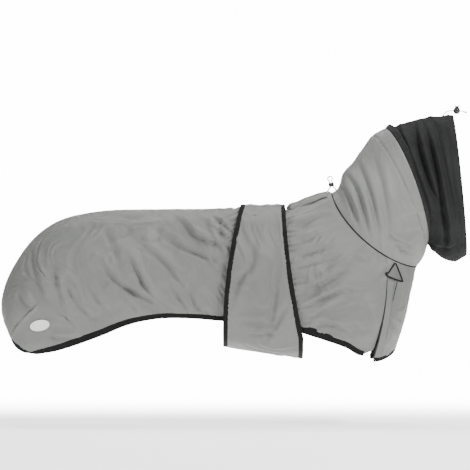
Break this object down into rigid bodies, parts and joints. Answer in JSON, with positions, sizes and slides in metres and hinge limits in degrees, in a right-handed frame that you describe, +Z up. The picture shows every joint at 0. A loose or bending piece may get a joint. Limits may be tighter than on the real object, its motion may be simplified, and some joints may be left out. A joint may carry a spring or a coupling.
{
  "type": "dog rain coat",
  "caption": "Rain coat for a sighthound with tall collar, stretch snood, wrap-round belly band and leash-opening flap, in its worn shape.",
  "frame": {"origin": "on the spine at the withers, where the collar starts (the dog's back mount)", "axes": "+X to the dog's head, +Y to the dog's left, +Z up"},
  "size_m": [0.9378, 0.1966, 0.5133],
  "materials": {
    "shell_nylon": "woven nylon, slight sheen",
    "fleece_lining": "short fleece",
    "black_binding": "ribbed elastic tape",
    "snood_knit": "stretch knit",
    "hook_and_loop": "hook and loop tape",
    "elastic_cord": "braided elastic cord",
    "lock_plastic": "moulded, satin",
    "spring_steel": "drawn wire",
    "eyelet_metal": "blackened",
    "label_fabric": "plain woven patch"
  },
  "bodies": {
    "coat": {"back_shell": "shell_nylon", "back_lining": "fleece_lining", "back_hem_binding": "black_binding", "rump_darts": "shell_nylon", "label_patch": "label_fabric", "shoulder_shell": "shell_nylon", "shoulder_lining": "fleece_lining", "shoulder_hem_binding_right": "black_binding", "shoulder_hem_binding_left": "black_binding", "leash_opening_welt": "black_binding", "chest_shell": "shell_nylon", "chest_lining": "fleece_lining", "chest_hem_binding": "black_binding", "slit_facing_right": "shell_nylon", "slit_facing_left": "shell_nylon", "slit_gusset_right": "black_binding", "slit_gusset_left": "black_binding", "collar_shell": "shell_nylon", "collar_lining": "fleece_lining", "collar_rim_binding": "black_binding", "collar_seam_piping": "black_binding", "snood": "snood_knit", "snood_hem_casing": "snood_knit", "belly_band_fixed": "shell_nylon", "belly_band_fixed_rear_binding": "black_binding", "belly_band_fixed_front_binding": "black_binding", "band_loop_patch": "hook_and_loop", "leash_flap_base": "shell_nylon", "snood_cord_right": "elastic_cord", "snood_cord_left": "elastic_cord", "snood_cord_knot": "elastic_cord", "neck_cord": "elastic_cord", "snood_eyelets": "eyelet_metal", "neck_eyelets": "eyelet_metal"},
    "belly_band": {"belly_band_free": "shell_nylon", "belly_band_free_rear_binding": "black_binding", "belly_band_free_front_binding": "black_binding", "band_hook_patch": "hook_and_loop"},
    "leash_flap": {"leash_flap": "shell_nylon", "leash_flap_binding": "black_binding"},
    "snood_lock": {"snood_lock_body": "lock_plastic", "snood_lock_spring": "spring_steel"},
    "snood_lock_button": {"snood_lock_plunger": "lock_plastic"},
    "neck_toggle": {"neck_toggle": "lock_plastic"}
  },
  "joints": [
    {"name": "band_hinge", "type": "hinge", "parent": "coat", "child": "belly_band", "pos_m": [-0.157, -0.08, -0.3006], "axis": [0.995, 0, -0.0995], "range_deg": [0, 110]},
    {"name": "flap_hinge", "type": "hinge", "parent": "coat", "child": "leash_flap", "pos_m": [-0.044, 0, -0.0082], "axis": [0, 1, 0], "range_deg": [0, 80]},
    {"name": "snood_lock_slide", "type": "slide", "parent": "coat", "child": "snood_lock", "axis": [-1, 0, 0], "range_m": [0, 0.006]},
    {"name": "snood_lock_press", "type": "slide", "parent": "snood_lock", "child": "snood_lock_button", "axis": [0, 0, -1], "range_m": [0, 0.002], "stiffness_N_per_m": 900, "springref_m": -0.003, "deforming": ["snood_lock_spring"]},
    {"name": "neck_toggle_slide", "type": "slide", "parent": "coat", "child": "neck_toggle", "axis": [-0.2079, 0, 0.9781], "range_m": [0, 0.0028]}
  ]
}
